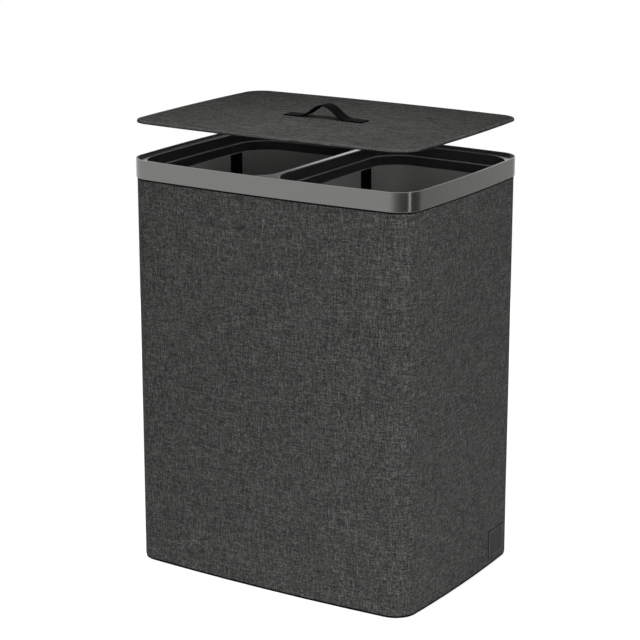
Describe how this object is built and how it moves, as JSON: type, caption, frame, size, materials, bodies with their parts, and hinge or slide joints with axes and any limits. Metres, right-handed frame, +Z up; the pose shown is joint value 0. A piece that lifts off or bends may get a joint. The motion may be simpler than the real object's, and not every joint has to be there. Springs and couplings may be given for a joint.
{
  "type": "laundry hamper with two bins",
  "caption": "Rectangular fabric-covered laundry hamper with a satin metal rim, two lift-out bins side by side and a lift-off lid with a webbing handle.",
  "frame": {"origin": "on the floor, under the middle of the hamper", "axes": "+Z up, +X to the right along the long side, +Y to the back, so the front long side faces -Y"},
  "size_m": [0.5136, 0.3716, 0.7419],
  "materials": {
    "cover_fabric": "melange linen-look polyester, coarse plain weave",
    "lid_fabric": "melange linen-look polyester, coarse plain weave",
    "satin_metal": "satin grey anodised",
    "black_plastic": "moulded, semi-matte",
    "fibreboard": "raw pressed board",
    "rubber": "moulded, matte",
    "zinc_steel": "zinc plated",
    "lining_fabric": "plain grey polyester",
    "black_webbing": "woven polypropylene webbing",
    "black_binding": "bound edge tape",
    "patch": "grained synthetic leather, stitched, bare"
  },
  "bodies": {
    "hamper": {"base_tray": "black_plastic", "foot_front_right": "rubber", "foot_back_right": "rubber", "foot_back_left": "rubber", "foot_front_left": "rubber", "base_screw_front_right": "zinc_steel", "base_screw_back_right": "zinc_steel", "base_screw_back_left": "zinc_steel", "base_screw_front_left": "zinc_steel", "right_board": "fibreboard", "back_board": "fibreboard", "left_board": "fibreboard", "front_board": "fibreboard", "corner_post_front_right": "black_plastic", "corner_post_back_right": "black_plastic", "corner_post_back_left": "black_plastic", "corner_post_front_left": "black_plastic", "fabric_cover": "cover_fabric", "side_patch": "patch", "rim_band": "satin_metal", "rim_frame": "black_plastic"},
    "left_bin": {"left_bin_hoop": "black_plastic", "left_bin_bag": "lining_fabric", "left_bin_base_board": "fibreboard", "left_bin_webbing_outer_front": "black_webbing", "left_bin_webbing_middle_front": "black_webbing", "left_bin_webbing_outer_back": "black_webbing", "left_bin_webbing_middle_back": "black_webbing"},
    "right_bin": {"right_bin_hoop": "black_plastic", "right_bin_bag": "lining_fabric", "right_bin_base_board": "fibreboard", "right_bin_webbing_outer_front": "black_webbing", "right_bin_webbing_middle_front": "black_webbing", "right_bin_webbing_outer_back": "black_webbing", "right_bin_webbing_middle_back": "black_webbing"},
    "lid": {"lid_edge_binding": "black_binding", "lid_lining": "lining_fabric", "lid_board": "fibreboard", "lid_cloth": "lid_fabric", "lid_handle": "black_webbing", "handle_anchor_right": "black_plastic", "handle_anchor_left": "black_plastic", "anchor_rivet_back_right": "zinc_steel", "anchor_rivet_front_right": "zinc_steel", "anchor_rivet_front_left": "zinc_steel", "anchor_rivet_back_left": "zinc_steel"}
  },
  "joints": [
    {"name": "left_bin_lift", "type": "slide", "parent": "hamper", "child": "left_bin", "axis": [0, 0, 1], "range_m": [0, 0.66]},
    {"name": "right_bin_lift", "type": "slide", "parent": "left_bin", "child": "right_bin", "axis": [0, 0, 1], "range_m": [0, 0.66]},
    {"name": "lid_lift", "type": "slide", "parent": "right_bin", "child": "lid", "axis": [0, 0, 1], "range_m": [-0.0607, 0.3]}
  ]
}
